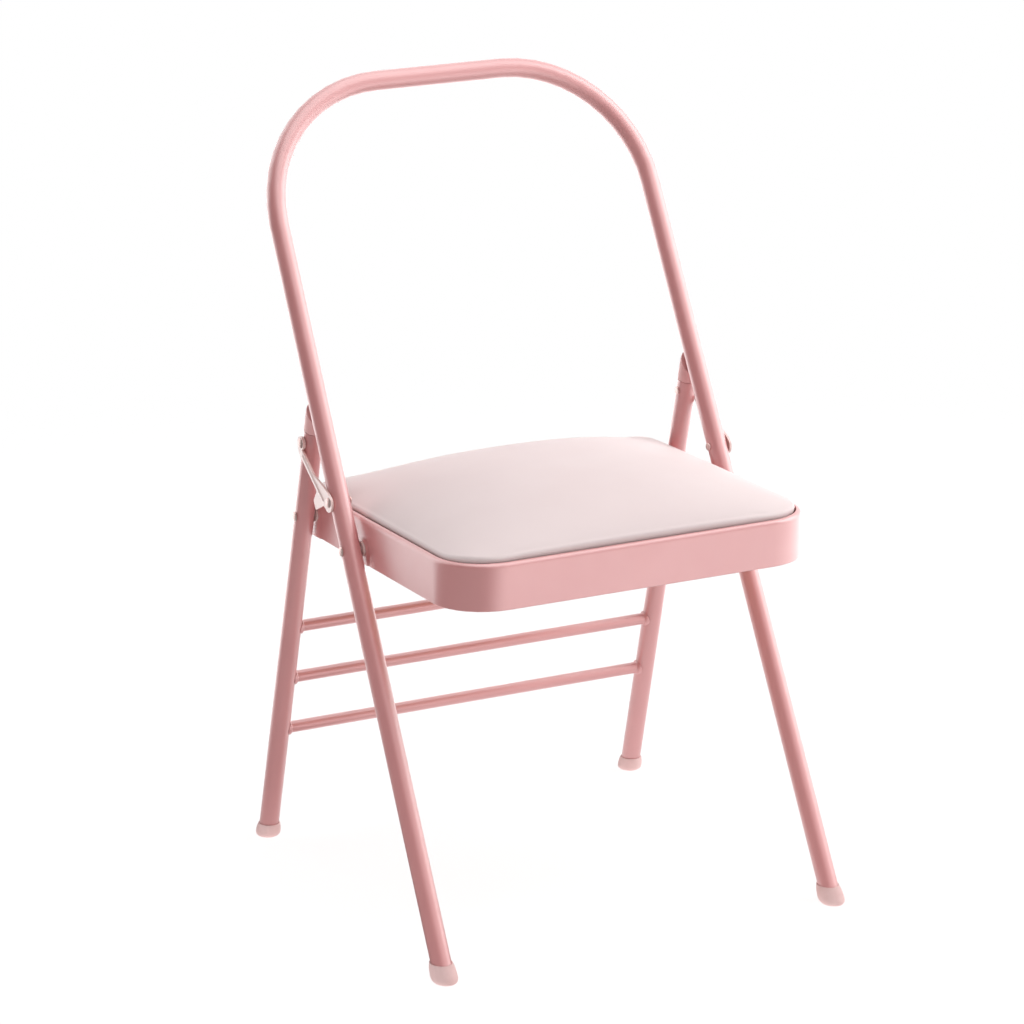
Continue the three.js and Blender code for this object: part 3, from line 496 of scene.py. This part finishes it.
def crown(point):
    """Height of the cover above the rim."""
    across = fall(point.x / PAD_HALF_WIDTH, *ACROSS_FALL)
    along = fall(point.y / PAD_HALF_LENGTH, *(FRONT_FALL if point.y < 0 else BACK_FALL))
    return PAD_EDGE + PAD_CROWN * across * along


def stitched(mesh, border, ring):
    """Joins two rings of corners with square faces."""
    for i in range(len(border)):
        k = (i + 1) % len(border)
        mesh.faces.new((border[i], border[k], ring[k], ring[i]))
    return ring


def square_sheet(mesh, inset, height):
    """A sheet of square faces that fills the pad's outline, and its edge corners in order."""
    half = PAD_GRID // 2
    sheet = {(half, half): mesh.verts.new((0, 0, height(Vector((0, 0)))))}
    for ring in range(1, half + 1):
        share = 1 - (1 - ring / half) ** PAD_CROWDING
        for (i, j), edge in zip(square_border(2 * ring), pad_outline(2 * ring, inset)):
            point = edge * share
            sheet[i + half - ring, j + half - ring] = mesh.verts.new((*point, height(point)))
    for i in range(PAD_GRID):
        for j in range(PAD_GRID):
            mesh.faces.new((sheet[i, j], sheet[i + 1, j], sheet[i + 1, j + 1], sheet[i, j + 1]))
    return [sheet[place] for place in square_border(PAD_GRID)]


def pad_mesh():
    """Closed cushion: a crowned cover, a rounded edge and a tucked-in flat underside."""
    mesh = bmesh.new()
    border = square_sheet(mesh, PAD_ROUND, crown)
    seam = [vertex.co.z for vertex in border]
    for k in range(1, PAD_ARC + 1):
        angle = math.pi / 2 * k / PAD_ARC
        outline = pad_outline(PAD_GRID, PAD_ROUND * (1 - math.sin(angle)))
        drop = PAD_ROUND * (1 - math.cos(angle))
        ring = [mesh.verts.new((*point, z - drop)) for point, z in zip(outline, seam)]
        border = stitched(mesh, border, ring)
    tuck = [mesh.verts.new((*point, PAD_LOW + PAD_UNDERCUT)) for point in pad_outline(PAD_GRID, 0)]
    border = stitched(mesh, border, tuck)
    stitched(mesh, border, square_sheet(mesh, PAD_UNDERCUT, lambda point: PAD_LOW))
    bmesh.ops.recalc_face_normals(mesh, faces=mesh.faces)
    return mesh


def filled(pad):
    """Presses the cover outwards over its filling, held along its edge, and keeps the result."""
    scene = bpy.context.scene
    flat = [vertex.co.copy() for vertex in pad.data.vertices]
    held = pad.vertex_groups.new(name="held")
    held.add([v.index for v in pad.data.vertices if v.co.z < PAD_EDGE], 1.0, "REPLACE")
    cloth = pad.modifiers.new("filling", "CLOTH")
    for name, value in FILL.items():
        setattr(cloth.settings, name, value)
    cloth.settings.vertex_group_mass = held.name
    cloth.settings.effector_weights.gravity = 0
    for frame_number in range(1, FILL_FRAMES + 1):
        scene.frame_set(frame_number)
    shaped = pad.evaluated_get(bpy.context.evaluated_depsgraph_get()).data
    moved = [vertex.co.copy() for vertex in shaped.vertices]
    pad.modifiers.remove(cloth)
    pad.vertex_groups.remove(held)
    for vertex, start, end in zip(pad.data.vertices, flat, moved):
        swell = (end - start).dot(vertex.normal)
        vertex.co = start + vertex.normal * min(max(swell, 0), FILL_REACH)
    scene.frame_set(1)


def cushion():
    data = bpy.data.meshes.new("seat_pad")
    mesh = pad_mesh()
    mesh.to_mesh(data)
    mesh.free()
    pad = bpy.data.objects.new("seat_pad", data)
    bpy.context.scene.collection.objects.link(pad)
    filled(pad)
    data.transform(Matrix.Translation(SEAT_MIDDLE) @ Matrix.Rotation(-SEAT_PITCH, 4, "X"))
    data.materials.append(finishes["cushion_vinyl"])
    for face in data.polygons:
        face.use_smooth = True
    finer = pad.modifiers.new("finer", "SUBSURF")
    finer.levels = finer.render_levels = 1
    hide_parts("seat_cushion")
    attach(pad, "seat")


camera()
white_room()
floor()
lights()
cushion()
dress_nodes()
bpy.context.scene.view_settings.view_transform = "Standard"
